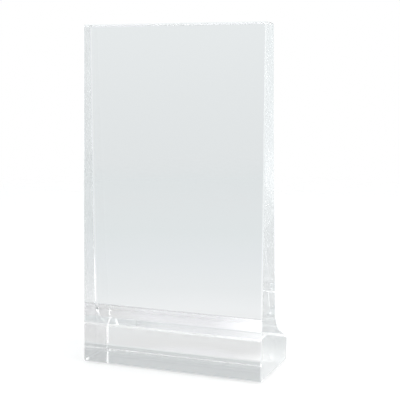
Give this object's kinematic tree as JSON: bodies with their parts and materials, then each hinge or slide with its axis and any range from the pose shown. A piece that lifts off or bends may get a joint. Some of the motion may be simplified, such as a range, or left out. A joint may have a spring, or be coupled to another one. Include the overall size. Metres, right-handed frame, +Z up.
{
  "type": "photo display stand",
  "caption": "Clear upright crystal display stand for a photo: a tapered tablet with a coved foot bonded behind it, on thin clear pads.",
  "frame": {"origin": "middle of the bounding box in plan, on the table under the pads", "axes": "+Z up, +X to the right of a viewer who faces the picture face, +Y away from that viewer"},
  "size_m": [0.1, 0.0454, 0.18],
  "materials": {
    "crystal": "polished",
    "clear_bond": "clear gloss",
    "clear_pad": "clear satin"
  },
  "bodies": {
    "root": {"upright_tablet": "crystal", "rear_foot": "crystal", "bond_film": "clear_bond", "front_left_pad": "clear_pad", "front_right_pad": "clear_pad", "rear_left_pad": "clear_pad", "rear_right_pad": "clear_pad"}
  },
  "joints": []
}
